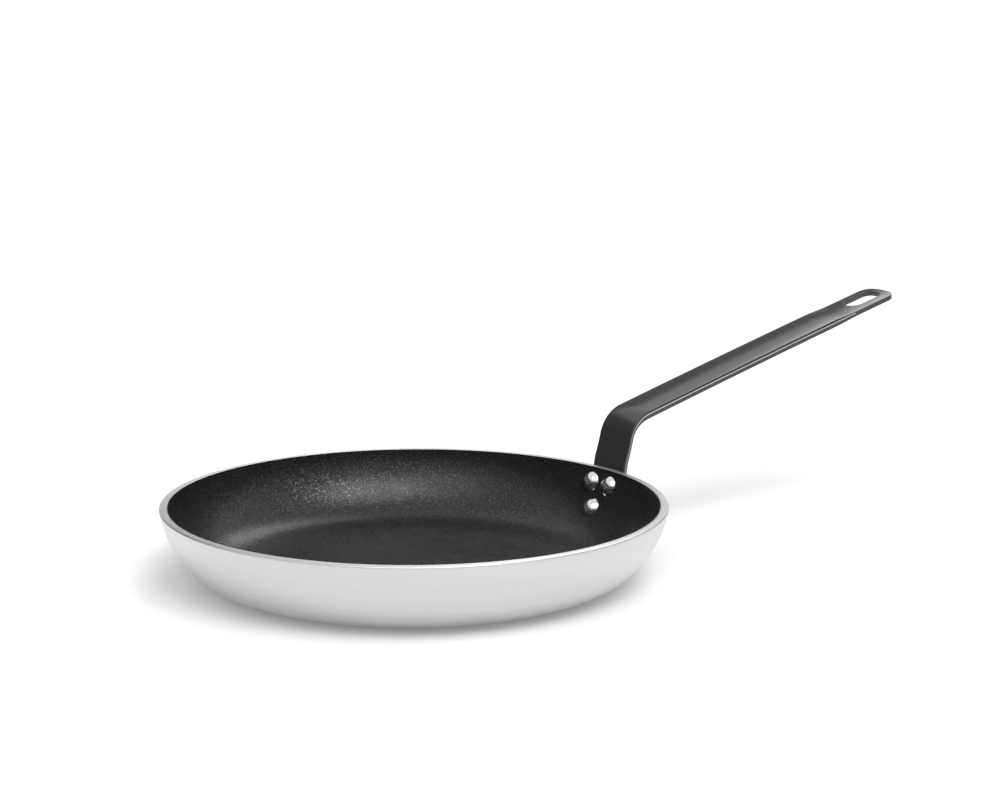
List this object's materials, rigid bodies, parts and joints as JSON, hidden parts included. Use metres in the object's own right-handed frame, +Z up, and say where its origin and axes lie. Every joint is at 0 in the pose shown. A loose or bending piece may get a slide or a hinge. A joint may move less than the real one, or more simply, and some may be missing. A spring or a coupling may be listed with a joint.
{
  "type": "omelette pan",
  "caption": "Shallow round pan with a flared curved side, dark coated inside, bare flat rim and a riveted, cranked strip handle with a hanging slot.",
  "frame": {"origin": "centre of the flat base, on the surface that it stands on", "axes": "+Z up, +X along the handle, away from the pan"},
  "size_m": [0.5081, 0.28, 0.1298],
  "materials": {
    "pan_metal": "fine circular brushing",
    "coating": "charcoal nonstick coat with fine metallic flecks",
    "handle_paint": "smooth semi-gloss black coat on steel",
    "rivet_metal": "polished"
  },
  "bodies": {
    "root": {"pan_body": "pan_metal", "nonstick_coating": "coating", "handle": "handle_paint", "rivet_upper_left": "rivet_metal", "rivet_upper_right": "rivet_metal", "rivet_lower": "rivet_metal"}
  },
  "joints": []
}
